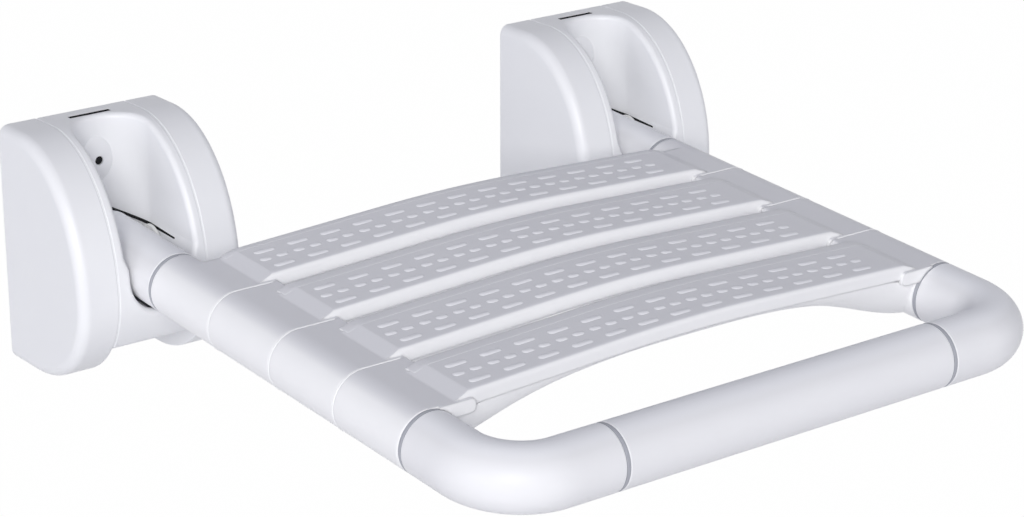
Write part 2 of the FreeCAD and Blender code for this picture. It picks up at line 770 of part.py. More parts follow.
base_slat = slat(0.0)
front_slat = slat(ring_width)
for number in range(1, slat_count + 1):
    one_slat = cut_back(base_slat) if number == 1 else base_slat
    if number == slat_count:
        one_slat = front_slat
    keep("slat_%d" % number, tilt_seat(place_slat(one_slat, number)))
keep("frame_tube", tilt_seat(frame_tube()))
keep("front_sleeve", tilt_seat(front_sleeve()))
keep("seam_rings", tilt_seat(seam_rings()))

right_elbow = elbow_sleeve()
left_elbow = left_of(right_elbow)
keep("right_elbow_sleeve", tilt_seat(right_elbow))
keep("left_elbow_sleeve", tilt_seat(left_elbow))

for side, side_name in ((-1, "left"), (1, "right")):
    centre = V(side * half_span, 0, 0)
    moving = {
        "arm_neck": arm_neck(),
        "hinge_eye": hinge_eye(),
        "pivot_bushes": pivot_bushes(),
        "neck_screw": neck_screw(),
    }
    fixed = {
        "wall_bracket": wall_bracket(),
        "housing": housing(),
        "outer_cheek": cheek(side),
        "inner_cheek": cheek(-side),
        "pivot_pin": pivot_pin(side),
        "pin_clip": pin_clip(side),
        "stop_bar": stop_bar(),
        "stop_sleeve": stop_sleeve(),
        "housing_screw": housing_screw(),
    }
    for name, shape in moving.items():
        shape.translate(centre)
        keep(side_name + "_" + name, tilt_seat(shape))
    for name, shape in fixed.items():
        shape.translate(centre)
        keep(side_name + "_" + name, shape)

for name, shape in parts.items():
    shape.exportStep("parts/" + name + ".step")
    print(name, "solids", len(shape.Solids), "valid", shape.isValid(), "volume", round(shape.Volume))
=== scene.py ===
# %% [markdown]
# Fold down wall seat: the looks
#
# The seat is a rounded frame of tube in white plastic sleeves. Four crowned slats
# lie across it, and two housings carry it on the wall. Every load-bearing piece
# comes in already modelled at its real size. This file gives each of them its
# finish, adds the grip pads and the thin trims, and lights and frames the whole.
#
# Everything is in metres: X to the right, Y towards the wall, Z up, with the
# origin on the wall between the housings, level with the hinge.

# %% Load the frame
import math

import bmesh
import bpy
from mathutils import Matrix, Vector
from mathutils.bvhtree import BVHTree


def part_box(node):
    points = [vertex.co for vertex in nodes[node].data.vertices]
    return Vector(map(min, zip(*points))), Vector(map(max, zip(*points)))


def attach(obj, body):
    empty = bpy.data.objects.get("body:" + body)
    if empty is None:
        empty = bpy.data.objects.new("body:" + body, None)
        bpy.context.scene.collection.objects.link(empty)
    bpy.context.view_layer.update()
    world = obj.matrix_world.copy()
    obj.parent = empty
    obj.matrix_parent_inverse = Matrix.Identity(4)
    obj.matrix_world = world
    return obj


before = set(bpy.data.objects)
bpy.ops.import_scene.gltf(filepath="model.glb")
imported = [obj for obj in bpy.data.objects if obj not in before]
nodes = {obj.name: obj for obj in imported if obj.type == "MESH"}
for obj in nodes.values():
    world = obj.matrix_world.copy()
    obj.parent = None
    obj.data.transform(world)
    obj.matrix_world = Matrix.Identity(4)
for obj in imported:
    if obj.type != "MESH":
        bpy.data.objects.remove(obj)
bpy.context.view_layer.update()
scene = bpy.context.scene
MM = 0.001

# %% [markdown]
# The camera
#
# The photograph looks down on the seat from the left, about 20 degrees above the
# horizon. Parallel edges hardly converge in it, so it was taken from some way off
# with a long lens, which is a large focal length against the 36 mm sensor. A
# camera can be turned by three angles or aimed along a direction. The direction is
# used here, because it keeps the picture level: there is no roll. The Standard view
# leaves the colours as they were worked out.

# %% Camera
CAMERA_PLACE = Vector((-918.4, -1374.4, 539.2)) * MM
CAMERA_AZIMUTH = math.radians(-37.28)
CAMERA_HEIGHT = math.radians(19.74)
CAMERA_LENS = 103.41
SENSOR_WIDTH = 36.0
NEAREST_SEEN = 0.05
FARTHEST_SEEN = 20.0

towards_camera = Vector((
    math.sin(CAMERA_AZIMUTH) * math.cos(CAMERA_HEIGHT),
    -math.cos(CAMERA_AZIMUTH) * math.cos(CAMERA_HEIGHT),
    math.sin(CAMERA_HEIGHT),
))
camera_data = bpy.data.cameras.new("photo_camera")
camera_data.lens = CAMERA_LENS
camera_data.sensor_width = SENSOR_WIDTH
camera_data.sensor_fit = "HORIZONTAL"
camera_data.clip_start = NEAREST_SEEN
camera_data.clip_end = FARTHEST_SEEN
camera = bpy.data.objects.new("photo_camera", camera_data)
scene.collection.objects.link(camera)
camera.location = CAMERA_PLACE
camera.rotation_mode = "QUATERNION"
camera.rotation_quaternion = (-towards_camera).to_track_quat("-Z", "Y")
scene.camera = camera
scene.view_settings.view_transform = "Standard"
print("camera at", [round(v, 3) for v in camera.location])

# %% [markdown]
# White that gives no light
#
# The photograph's background is plain white. A room or a floor that bright would
# flood the seat with light from every side and flatten it. The Light Path node
# tells which kind of ray asks for a colour, so white can be shown to the camera and
# to mirrored rays alone, while the rays that carry light meet something dimmer.

# %% Tell the rays apart
def math_node(tree, operation):
    """A node that works out one sum."""
    node = tree.nodes.new("ShaderNodeMath")
    node.operation = operation
    return node


def seen_or_mirrored(tree):
    """1 for a ray from the camera, or one mirrored or let through by a surface."""
    path = tree.nodes.new("ShaderNodeLightPath")
    mirrored = math_node(tree, "MAXIMUM")
    tree.links.new(path.outputs["Is Glossy Ray"], mirrored.inputs[0])
    tree.links.new(path.outputs["Is Transmission Ray"], mirrored.inputs[1])
    seen = math_node(tree, "MAXIMUM")
    tree.links.new(path.outputs["Is Camera Ray"], seen.inputs[0])
    tree.links.new(mirrored.outputs[0], seen.inputs[1])
    return seen.outputs[0]


print("helpers:", math_node.__name__, seen_or_mirrored.__name__)

# %% [markdown]
# The room
#
# The faces that look up are a cool grey in the photograph, because most of what
# they see is the room above. A picture of a room wrapped round the scene could
# light them, but nothing in the photograph shows what that room looked like. One
# dim, bluish colour gives the same grey with a single level to set.

# %% World
ROOM_COLOUR = (0.83, 0.85, 1.0, 1.0)
ROOM_LEVEL = 0.29
WHITE = (1.0, 1.0, 1.0, 1.0)
FULL_LEVEL = 1.0

world = bpy.data.worlds.new("pale_room")
scene.world = world
world.use_nodes = True
world_tree = world.node_tree
world_tree.nodes.clear()
world_out = world_tree.nodes.new("ShaderNodeOutputWorld")
room_light = world_tree.nodes.new("ShaderNodeBackground")
room_light.inputs["Color"].default_value = ROOM_COLOUR
room_light.inputs["Strength"].default_value = ROOM_LEVEL
white_sky = world_tree.nodes.new("ShaderNodeBackground")
white_sky.inputs["Color"].default_value = WHITE
white_sky.inputs["Strength"].default_value = FULL_LEVEL
world_mix = world_tree.nodes.new("ShaderNodeMixShader")
world_tree.links.new(seen_or_mirrored(world_tree), world_mix.inputs["Fac"])
world_tree.links.new(room_light.outputs[0], world_mix.inputs[1])
world_tree.links.new(white_sky.outputs[0], world_mix.inputs[2])
world_tree.links.new(world_mix.outputs[0], world_out.inputs["Surface"])
print("room level:", ROOM_LEVEL)

# %% [markdown]
# The lamps
#
# White plastic shows its form only through soft changes of light. In the
# photograph every face that looks at the camera is nearly white, so the main light
# stood close to the camera. A sun lamp would give hard shadows, so the lamps are
# large flat ones. The main one stands some way behind the camera, and two weaker
# ones from the left and the right keep the sides open.

# %% Lamps
SEAT_MIDDLE = Vector((0.0, -0.2, 0.0))
WARM_WHITE = (1.0, 0.995, 0.985)
COOL_WHITE = (0.95, 0.955, 1.0)
PLAIN_WHITE = (1.0, 1.0, 1.0)


def area_lamp(name, place, size, power, colour):
    """A large flat lamp that faces the middle of the seat."""
    data = bpy.data.lights.new(name, "AREA")
    data.shape = "RECTANGLE"
    data.size = size[0]
    data.size_y = size[1]
    data.energy = power
    data.color = colour
    lamp = bpy.data.objects.new(name, data)
    scene.collection.objects.link(lamp)
    lamp.location = Vector(place)
    lamp.rotation_mode = "QUATERNION"
    lamp.rotation_quaternion = (SEAT_MIDDLE - Vector(place)).to_track_quat("-Z", "Y")


area_lamp("camera_side_lamp", place=(-4.0, -5.3, 2.5), size=(3.0, 3.0), power=292.0, colour=WARM_WHITE)
area_lamp("left_lamp", place=(-6.4, -2.0, 0.8), size=(3.0, 3.0), power=80.0, colour=COOL_WHITE)
area_lamp("right_lamp", place=(5.2, -3.6, 1.0), size=(3.0, 2.4), power=27.0, colour=PLAIN_WHITE)

# %% [markdown]
# The floor
#
# The seat hangs 0.45 m above the floor, as in use. A floor that is only lit by the
# lamps would come out grey in parts. So the camera and the mirrored rays see it
# almost wholly lit by itself, as white as the photograph's background. The rays
# that carry light meet a plain pale floor, which throws light up at the seat's
# underside.

# %% Floor
SEAT_HEIGHT = 0.45
FLOOR_REACH = 6.0
FLOOR_COLOUR = (0.88, 0.88, 0.89, 1.0)
FLOOR_OWN_SHARE = 0.995


def floor_material():
    """Pale where light falls on it, and white by itself where the camera sees it."""
    material = bpy.data.materials.new("pale_floor")
    material.use_nodes = True
    tree = material.node_tree
    tree.nodes.clear()
    out = tree.nodes.new("ShaderNodeOutputMaterial")
    lit = tree.nodes.new("ShaderNodeBsdfDiffuse")
    lit.inputs["Color"].default_value = FLOOR_COLOUR
    own = tree.nodes.new("ShaderNodeEmission")
    own.inputs["Strength"].default_value = FULL_LEVEL
    share = math_node(tree, "MULTIPLY")
    share.inputs[1].default_value = FLOOR_OWN_SHARE
    mix = tree.nodes.new("ShaderNodeMixShader")
    tree.links.new(seen_or_mirrored(tree), share.inputs[0])
    tree.links.new(share.outputs[0], mix.inputs["Fac"])
    tree.links.new(lit.outputs[0], mix.inputs[1])
    tree.links.new(own.outputs[0], mix.inputs[2])
    tree.links.new(mix.outputs[0], out.inputs["Surface"])
    return material


def floor_plane():
    """One square face below the seat, which is no part of it."""
    mesh = bpy.data.meshes.new("floor")
    square = [(-1, -1), (1, -1), (1, 1), (-1, 1)]
    corners = [(x * FLOOR_REACH, y * FLOOR_REACH, -SEAT_HEIGHT) for x, y in square]
    mesh.from_pydata(corners, [], [(0, 1, 2, 3)])
    plane = bpy.data.objects.new("floor", mesh)
    scene.collection.objects.link(plane)
    mesh.materials.append(floor_material())


floor_plane()
print("floor at z mm", round(-SEAT_HEIGHT / MM))

# %% [markdown]
# What every plastic shares
#
# Real moulded plastic is never perfectly smooth. It has a very fine grain from the
# mould's surface, slow waves of a few centimetres where the wall sank as it
# cooled, and a slightly uneven gloss. Its edges are never sharp either. All this
# could be built again in each material, but one node group makes it once, and every
# plastic uses the group with its own values.

# %% The moulded surface group and its sockets
def group_socket(group, name, way, kind, value=None):
    """One named input or output of a node group."""
    socket = group.interface.new_socket(name=name, in_out=way, socket_type=kind)
    if value is not None:
        socket.default_value = value


moulded_surface = bpy.data.node_groups.new("moulded_surface", "ShaderNodeTree")
group_socket(moulded_surface, "Color", "INPUT", "NodeSocketColor", (0.8, 0.8, 0.8, 1.0))
group_socket(moulded_surface, "Tint", "INPUT", "NodeSocketColor", (0.75, 0.75, 0.8, 1.0))
# The top colour and its share carry the painted light and shade on faces that look up.
group_socket(moulded_surface, "Painted Top Color", "INPUT", "NodeSocketColor", (0.7, 0.7, 0.75, 1.0))
group_socket(moulded_surface, "Painted Top Share", "INPUT", "NodeSocketFloat", 0.0)
group_socket(moulded_surface, "Roughness", "INPUT", "NodeSocketFloat", 0.3)
group_socket(moulded_surface, "Grain", "INPUT", "NodeSocketFloat", 0.05)
group_socket(moulded_surface, "Grain Size", "INPUT", "NodeSocketFloat", 2200.0)
group_socket(moulded_surface, "Sink", "INPUT", "NodeSocketFloat", 0.1)
group_socket(moulded_surface, "Edge Radius", "INPUT", "NodeSocketFloat", 0.5 * MM)
group_socket(moulded_surface, "Color", "OUTPUT", "NodeSocketColor")
group_socket(moulded_surface, "Roughness", "OUTPUT", "NodeSocketFloat")
group_socket(moulded_surface, "Normal", "OUTPUT", "NodeSocketVector")
surface_in = moulded_surface.nodes.new("NodeGroupInput")
surface_out = moulded_surface.nodes.new("NodeGroupOutput")
surface_place = moulded_surface.nodes.new("ShaderNodeTexCoord")
print("sockets:", [socket.name for socket in moulded_surface.interface.items_tree])

# %% [markdown]
# Grain and waves
#
# The grain and the waves are the same random pattern at two sizes. An image could
# hold them, but a Noise node needs none and never repeats. It is placed by the
# piece's own metres, so the grain has one real size on the large pieces and the
# small ones.

# %% The two noises
FINE_DETAIL = 3.0
SLOW_SCALE = 28.0
SLOW_DETAIL = 2.0

link = moulded_surface.links.new
fine = moulded_surface.nodes.new("ShaderNodeTexNoise")
fine.inputs["Detail"].default_value = FINE_DETAIL
slow = moulded_surface.nodes.new("ShaderNodeTexNoise")
slow.inputs["Scale"].default_value = SLOW_SCALE
slow.inputs["Detail"].default_value = SLOW_DETAIL
link(surface_place.outputs["Object"], fine.inputs["Vector"])
link(surface_place.outputs["Object"], slow.inputs["Vector"])
link(surface_in.outputs["Grain Size"], fine.inputs["Scale"])
print("one slow wave in mm:", round(1 / SLOW_SCALE / MM))

# %% [markdown]
# The colour
#
# A moulded white drifts a little. The tops of the slats and of the arms are set apart
# from their sides by painted light and shade: a grey top colour is painted shade on
# the slats, and a pale one is painted light on the arms. The top colour could be a
# second material on picked faces, but that would leave a hard line round the arms.
# Here the normal's Z says how far a point looks up, and a smooth step over it lets
# the two colours run into each other.

# %% Colour of the moulded surface
TINT_FROM = 0.3
TINT_TO = 0.7
TINT_MOST = 0.35
# The top colour is painted light and shade: it takes over between these two values of the normal's Z.
PAINTED_TOP_FROM = 0.72
PAINTED_TOP_TO = 0.97

tint = moulded_surface.nodes.new("ShaderNodeMix")
tint.data_type = "RGBA"
spread = moulded_surface.nodes.new("ShaderNodeMapRange")
spread.inputs["From Min"].default_value = TINT_FROM
spread.inputs["From Max"].default_value = TINT_TO
spread.inputs["To Max"].default_value = TINT_MOST
link(slow.outputs["Fac"], spread.inputs["Value"])
link(spread.outputs["Result"], tint.inputs["Factor"])
link(surface_in.outputs["Color"], tint.inputs["A"])
link(surface_in.outputs["Tint"], tint.inputs["B"])

# Painted top light and shade: the normal's Z, through a smooth step, mixes the top colour over the
# drifting white.
facing = moulded_surface.nodes.new("ShaderNodeSeparateXYZ")
painted_top_mask = moulded_surface.nodes.new("ShaderNodeMapRange")
painted_top_mask.interpolation_type = "SMOOTHSTEP"
painted_top_mask.inputs["From Min"].default_value = PAINTED_TOP_FROM
painted_top_mask.inputs["From Max"].default_value = PAINTED_TOP_TO
painted_top_share = math_node(moulded_surface, "MULTIPLY")
top = moulded_surface.nodes.new("ShaderNodeMix")
top.data_type = "RGBA"
link(surface_place.outputs["Normal"], facing.inputs[0])
link(facing.outputs["Z"], painted_top_mask.inputs["Value"])
link(painted_top_mask.outputs["Result"], painted_top_share.inputs[0])
link(surface_in.outputs["Painted Top Share"], painted_top_share.inputs[1])
link(painted_top_share.outputs[0], top.inputs["Factor"])
link(tint.outputs["Result"], top.inputs["A"])
link(surface_in.outputs["Painted Top Color"], top.inputs["B"])
link(top.outputs["Result"], surface_out.inputs["Color"])
print("top colour ends at a tilt in degrees of:", round(math.degrees(math.acos(PAINTED_TOP_FROM))))

# %% [markdown]
# Gloss, edges and relief
#
# The gloss follows the slow waves, as it does where a wall has sunk. The relief is
# a small part of a millimetre deep, too fine to model, so it only bends the normal.
# Three nodes do that one after the other: Bevel rounds how the edges take the
# light, the first Bump adds the waves and the second one the grain.

# %% Roughness and normal of the moulded surface
GLOSS_SWING = 0.12
EDGE_SAMPLES = 6
SINK_DEPTH = 0.6 * MM
GRAIN_DEPTH = 0.08 * MM

gloss = math_node(moulded_surface, "MULTIPLY_ADD")
gloss.inputs[1].default_value = GLOSS_SWING
link(slow.outputs["Fac"], gloss.inputs[0])
link(surface_in.outputs["Roughness"], gloss.inputs[2])
link(gloss.outputs[0], surface_out.inputs["Roughness"])

soft_edge = moulded_surface.nodes.new("ShaderNodeBevel")
soft_edge.samples = EDGE_SAMPLES
link(surface_in.outputs["Edge Radius"], soft_edge.inputs["Radius"])
sink = moulded_surface.nodes.new("ShaderNodeBump")
sink.inputs["Distance"].default_value = SINK_DEPTH
link(soft_edge.outputs["Normal"], sink.inputs["Normal"])
link(slow.outputs["Fac"], sink.inputs["Height"])
link(surface_in.outputs["Sink"], sink.inputs["Strength"])
grain = moulded_surface.nodes.new("ShaderNodeBump")
grain.inputs["Distance"].default_value = GRAIN_DEPTH
link(fine.outputs["Fac"], grain.inputs["Height"])
link(surface_in.outputs["Grain"], grain.inputs["Strength"])
link(sink.outputs["Normal"], grain.inputs["Normal"])
link(grain.outputs["Normal"], surface_out.inputs["Normal"])
print("nodes in the group:", len(moulded_surface.nodes))

# %% [markdown]
# A plastic
#
# Plastic is a coloured body under a clear skin that mirrors a little of the light.
# The Principled shader is just that: Base Color is the body, and IOR and Specular
# set how much the skin mirrors. The group feeds its colour, roughness and normal.
# Specular stays below its usual value on most pieces, because the photograph shows
# hardly any highlights on them.

# %% Make a plastic
PLASTIC_IOR = 1.49
SMALL_EDGE = 0.5 * MM
SLAT_EDGE = 2.0 * MM
USUAL_SPECULAR = 0.5


def moulded_plastic(name, colour, tint, roughness, grain, sink, specular, edge=SMALL_EDGE, top=None):
    """A plastic that drifts from colour to tint, with a top colour of painted light and shade if given."""
    material = bpy.data.materials.new(name)
    material.use_nodes = True
    tree = material.node_tree
    shader = tree.nodes["Principled BSDF"]
    surface = tree.nodes.new("ShaderNodeGroup")
    surface.node_tree = moulded_surface
    surface.inputs["Color"].default_value = (*colour, 1.0)
    surface.inputs["Tint"].default_value = (*tint, 1.0)
    # The top colour paints in how the light falls on faces that look up.
    if top:
        surface.inputs["Painted Top Color"].default_value = (*top, 1.0)
        surface.inputs["Painted Top Share"].default_value = 1.0
    surface.inputs["Roughness"].default_value = roughness
    surface.inputs["Grain"].default_value = grain
    surface.inputs["Sink"].default_value = sink
    surface.inputs["Edge Radius"].default_value = edge
    shader.inputs["IOR"].default_value = PLASTIC_IOR
    shader.inputs["Specular IOR Level"].default_value = specular
    tree.links.new(surface.outputs["Color"], shader.inputs["Base Color"])
    tree.links.new(surface.outputs["Roughness"], shader.inputs["Roughness"])
    tree.links.new(surface.outputs["Normal"], shader.inputs["Normal"])
    return material


print("plastics so far:", moulded_surface.users)

# %% [markdown]
# The whites
#
# No two whites on the seat are alike. The sleeves have pale tops, which are painted
# light, and the slats grey ones, which are painted shade, with wide, soft edges. The
# grip pads are rougher than the slat under them, and the beads at the seams are the
# whitest of all, a white that is partly painted highlight. One white for the whole
# seat would be quicker, but the pieces would then melt into each other.

# %% White plastics
# The sleeves' pale top is painted light.
sleeve_white = moulded_plastic(
    "sleeve_white", colour=(0.865, 0.865, 0.88), tint=(0.845, 0.845, 0.87), top=(0.95, 0.955, 0.98),
    roughness=0.30, grain=0.10, sink=0.25, specular=0.2)
housing_white = moulded_plastic(
    "housing_white", colour=(0.88, 0.885, 0.90), tint=(0.86, 0.865, 0.89),
    roughness=0.30, grain=0.16, sink=0.25, specular=0.4)
# The slats' grey top is painted shade; their white sides keep their own colour.
slat_white = moulded_plastic(
    "slat_white", colour=(0.96, 0.96, 0.965), tint=(0.94, 0.94, 0.955), top=(0.80, 0.80, 0.83),
    roughness=0.34, grain=0.25, sink=0.25, specular=0.4, edge=SLAT_EDGE)
pad_white = moulded_plastic(
    "pad_white", colour=(0.95, 0.95, 0.975), tint=(0.93, 0.93, 0.965),
    roughness=0.42, grain=0.3, sink=0.1, specular=0.4)
# The beads' extra white is painted highlight along the seams; the bead itself is real trim.
bead_highlight_white = moulded_plastic(
    "bead_highlight_white", colour=(0.97, 0.97, 0.975), tint=(0.95, 0.95, 0.97),
    roughness=0.30, grain=0.1, sink=0.1, specular=0.4)
bearing_plastic = moulded_plastic(
    "bearing_plastic", colour=(0.84, 0.84, 0.83), tint=(0.80, 0.80, 0.78),
    roughness=0.42, grain=0.3, sink=0.1, specular=USUAL_SPECULAR)
print("plastics so far:", moulded_surface.users)

# %% [markdown]
# The greys and the black
#
# The rings at the seams and the sleeve on the stop bar are soft and dull. The black
# is painted shade: it goes on the dark pieces set into the housings where they show
# only shade, and it is as soft and dull. Rubber could have a material of its own, but
# it is moulded like the rest. The same function gives it, with a dark colour, a high
# roughness and more grain.

# %% Dark plastics
ring_grey = moulded_plastic(
    "ring_grey", colour=(0.42, 0.43, 0.47), tint=(0.38, 0.39, 0.44),
    roughness=0.45, grain=0.3, sink=0.1, specular=0.4)
seam_grey = moulded_plastic(
    "seam_grey", colour=(0.16, 0.165, 0.19), tint=(0.12, 0.12, 0.15),
    roughness=0.55, grain=0.4, sink=0.1, specular=USUAL_SPECULAR)
# Painted shade: this black goes on pieces set where the housings show only shade.
shade_black = moulded_plastic(
    "shade_black", colour=(0.012, 0.012, 0.014), tint=(0.02, 0.02, 0.022),
    roughness=0.7, grain=0.4, sink=0.1, specular=0.2)
print("plastics in all:", moulded_surface.users)

# %% [markdown]
# Worked metal
#
# The tube, plates and pins are hidden for the most part, but they show from the
# back and underneath. Drawn tube and rolled plate carry fine straight lines along
# the way they were worked. A noise gives these when its place is multiplied by a
# small number along the lines and a large one across them.

# %% The brushed lines group
LINE_DETAIL = 4.0
LINE_GLOSS_SWING = 0.2
LINE_STRENGTH = 0.25
LINE_DEPTH = 0.05 * MM
ALONG_LINES = 4.0
ACROSS_LINES = 900.0


def brushed_metal_group():
    """Roughness and normal of metal with fine lines along one way."""
    group = bpy.data.node_groups.new("brushed_lines", "ShaderNodeTree")
    group_socket(group, "Roughness", "INPUT", "NodeSocketFloat", 0.3)
    group_socket(group, "Stretch", "INPUT", "NodeSocketVector", (ALONG_LINES, ACROSS_LINES, ACROSS_LINES))
    group_socket(group, "Roughness", "OUTPUT", "NodeSocketFloat")
    group_socket(group, "Normal", "OUTPUT", "NodeSocketVector")
    inside = group.nodes.new("NodeGroupInput")
    outside = group.nodes.new("NodeGroupOutput")
    place = group.nodes.new("ShaderNodeTexCoord")
    stretch = group.nodes.new("ShaderNodeVectorMath")
    stretch.operation = "MULTIPLY"
    lines = group.nodes.new("ShaderNodeTexNoise")
    lines.inputs["Scale"].default_value = 1.0
    lines.inputs["Detail"].default_value = LINE_DETAIL
    group.links.new(place.outputs["Object"], stretch.inputs[0])
    group.links.new(inside.outputs["Stretch"], stretch.inputs[1])
    group.links.new(stretch.outputs[0], lines.inputs["Vector"])
    uneven = math_node(group, "MULTIPLY_ADD")
    uneven.inputs[1].default_value = LINE_GLOSS_SWING
    group.links.new(lines.outputs["Fac"], uneven.inputs[0])
    group.links.new(inside.outputs["Roughness"], uneven.inputs[2])
    group.links.new(uneven.outputs[0], outside.inputs["Roughness"])
    bump = group.nodes.new("ShaderNodeBump")
    bump.inputs["Strength"].default_value = LINE_STRENGTH
    bump.inputs["Distance"].default_value = LINE_DEPTH
    group.links.new(lines.outputs["Fac"], bump.inputs["Height"])
    group.links.new(bump.outputs["Normal"], outside.inputs["Normal"])
    return group


brushed_lines = brushed_metal_group()
print("nodes in the group:", len(brushed_lines.nodes))

# %% [markdown]
# The metals
#
# The tube is aluminium, and the plates, pins and screws are steel. The housing's
# screws are blackened. What tells one from the other is the colour, the roughness
# and the way of the lines. The screws have no such way, so their noise is as fine
# in all three directions.

# %% Metals
ALL_ROUND = 700.0


def brushed_metal(name, colour, roughness, stretch):
    """Bare metal with the brushed lines at the stretch given."""
    material = bpy.data.materials.new(name)
    material.use_nodes = True
    tree = material.node_tree
    shader = tree.nodes["Principled BSDF"]
    shader.inputs["Base Color"].default_value = (*colour, 1.0)
    shader.inputs["Metallic"].default_value = 1.0
    lines = tree.nodes.new("ShaderNodeGroup")
    lines.node_tree = brushed_lines
    lines.inputs["Roughness"].default_value = roughness
    lines.inputs["Stretch"].default_value = stretch
    tree.links.new(lines.outputs["Roughness"], shader.inputs["Roughness"])
    tree.links.new(lines.outputs["Normal"], shader.inputs["Normal"])
    return material


drawn_aluminium = brushed_metal(
    "drawn_aluminium", colour=(0.78, 0.79, 0.80), roughness=0.25,
    stretch=(ACROSS_LINES, ALONG_LINES, ACROSS_LINES))
plate_steel = brushed_metal(
    "plate_steel", colour=(0.58, 0.58, 0.59), roughness=0.28,
    stretch=(ALONG_LINES, ACROSS_LINES, ACROSS_LINES))
screw_steel = brushed_metal(
    "screw_steel", colour=(0.50, 0.50, 0.52), roughness=0.3,
    stretch=(ALL_ROUND, ALL_ROUND, ALL_ROUND))
black_oxide = brushed_metal(
    "black_oxide", colour=(0.035, 0.035, 0.04), roughness=0.45,
    stretch=(ALL_ROUND, ALL_ROUND, ALL_ROUND))
print("metals:", brushed_lines.users)

# %% [markdown]
# A finish for every piece
#
# Each kind of piece has one material, and the same kind on the left and the right
# has the same one. A list of all the pieces would be long and would repeat itself.
# A word of the piece's name is enough to find its kind, and where two words fit,
# as in housing_screw, the longer one says it better.

# %% Give the pieces their finish
FINISH = {
    "slat": slat_white,
    "sleeve": sleeve_white,
    "arm_neck": sleeve_white,
    "housing": housing_white,
    "cheek": housing_white,
    "seam_rings": ring_grey,
    "stop_sleeve": seam_grey,
    "pivot_bushes": bearing_plastic,
    "frame_tube": drawn_aluminium,
    "hinge_eye": drawn_aluminium,
    "wall_bracket": plate_steel,
    "pivot_pin": screw_steel,
    "pin_clip": screw_steel,
    "stop_bar": screw_steel,
    "screw": screw_steel,
    "housing_screw": black_oxide,
}


def finish_of(name):
    """The material of the longest word of FINISH that is part of the name."""
    words = [word for word in FINISH if word in name]
    return FINISH[max(words, key=len)]


for name, piece in nodes.items():
    piece.data.materials.clear()
    piece.data.materials.append(finish_of(name))
    for face in piece.data.polygons:
        face.material_index = 0
print("finished:", len(nodes))

# %% [markdown]
# Small pieces out of rings
#
# The pads, beads, rings, pans and lips that follow are too fine for the pieces that
# were loaded. Cubes and cylinders could be cut to shape for them, but each one is
# easier to say as a row of rings: closed lines of corners, one after the other,
# with four-cornered faces between them. Only the rings differ from piece to piece,
# so the faces and the rest are made by the same three helpers.

# %% Join rings and keep a piece
SHARP_FROM = math.radians(40)


def join_rings(mesh, rings):
    """Four-cornered faces between each ring of corners and the next."""
    for here, there in zip(rings, rings[1:]):
        for i in range(len(here)):
            j = (i + 1) % len(here)
            mesh.faces.new((here[i], here[j], there[j], there[i]))


def close_ends(mesh, rings):
    """One face over the first ring and one over the last."""
    mesh.faces.new(rings[0])
    mesh.faces.new(rings[-1])


def keep_piece(mesh, name, material, body):
    """Turn the mesh into a smooth piece of the seat that moves with its body."""
    bmesh.ops.recalc_face_normals(mesh, faces=mesh.faces)
    data = bpy.data.meshes.new(name)
    mesh.to_mesh(data)
    mesh.free()
    data.materials.append(material)
    for face in data.polygons:
        face.use_smooth = True
    data.set_sharp_from_angle(angle=SHARP_FROM)
    piece = bpy.data.objects.new(name, data)
    scene.collection.objects.link(piece)
    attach(piece, body)
    print(piece.name, "faces", len(data.polygons))


print("edges are sharp from degrees:", round(math.degrees(SHARP_FROM)))

# %% [markdown]
# The slat's crown
#
# A slat's top is crowned: an arc in the middle, with a straight wing on each side
# that leaves the arc without a bend. The pads have to follow it. They could be
# pressed onto the slat by a modifier, but the line is simple enough to write down,
# and then every corner lands on it exactly. The arc's turn isn't known, only how
# far the top falls over the whole slat, so it is found by trying: each try gives a
# better one.

# %% Work out the crown
HINGE = Vector((0.0, -38.6, 0.0)) * MM
SEAT_SLOPE = math.radians(3.3)
CROWN_TOP = 26.2 * MM
CROWN_END = 20.6 * MM
CROWN_HALF = 46.0 * MM
PLANK_END = 144.5 * MM
CROWN_TRIES = 20
SLAT_NUMBERS = range(1, 5)

# The tangent of half the angle through which the arc turns on each side.
half_turn = 0.0
for attempt in range(CROWN_TRIES):
    wing_share = 2 * (PLANK_END - CROWN_HALF) / (1 - half_turn ** 2)
    half_turn = (CROWN_TOP - CROWN_END) / (wing_share + CROWN_HALF)
CROWN_SLOPE = 2 * half_turn / (1 - half_turn ** 2)
CROWN_RADIUS = CROWN_HALF * (1 + half_turn ** 2) / (2 * half_turn)


def crown_height(x):
    """Height of the slat's top above the arms' line at x: rounded, then straight."""
    if abs(x) > CROWN_HALF:
        return CROWN_TOP - CROWN_HALF * half_turn - (abs(x) - CROWN_HALF) * CROWN_SLOPE
    return CROWN_TOP - CROWN_RADIUS + math.sqrt(CROWN_RADIUS ** 2 - x ** 2)


def seat_point(x, forward, height):
    """A point of the seat: forward is measured from the hinge along the arms."""
    level = Vector((x, -forward, height))
    return Matrix.Rotation(SEAT_SLOPE, 3, "X") @ level + HINGE


print("crown's radius mm", round(CROWN_RADIUS / MM), "wing's slope", round(CROWN_SLOPE, 4))
for number in SLAT_NUMBERS:
    slat_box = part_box("slat_%d" % number)
    print("slat", number, "top mm", round(slat_box[1].z / MM, 1))

# %% [markdown]
# The grip pads
#
# Each slat's top has three rows of low raised pads against slipping. The front and
# the rear row have one long pad in each step, and the middle row has two short
# ones. A bump map could fake them, but they catch the light at a low angle and show
# at the slat's outline, so they are modelled. Each one is a bar with half round
# ends, in four rings from just under the skin up to its rounded top edge.

# %% One pad
PAD_WIDTH = 4.4 * MM
PAD_RISE = 0.5 * MM
PAD_SINK = 0.3 * MM
PAD_CORNERS = 6
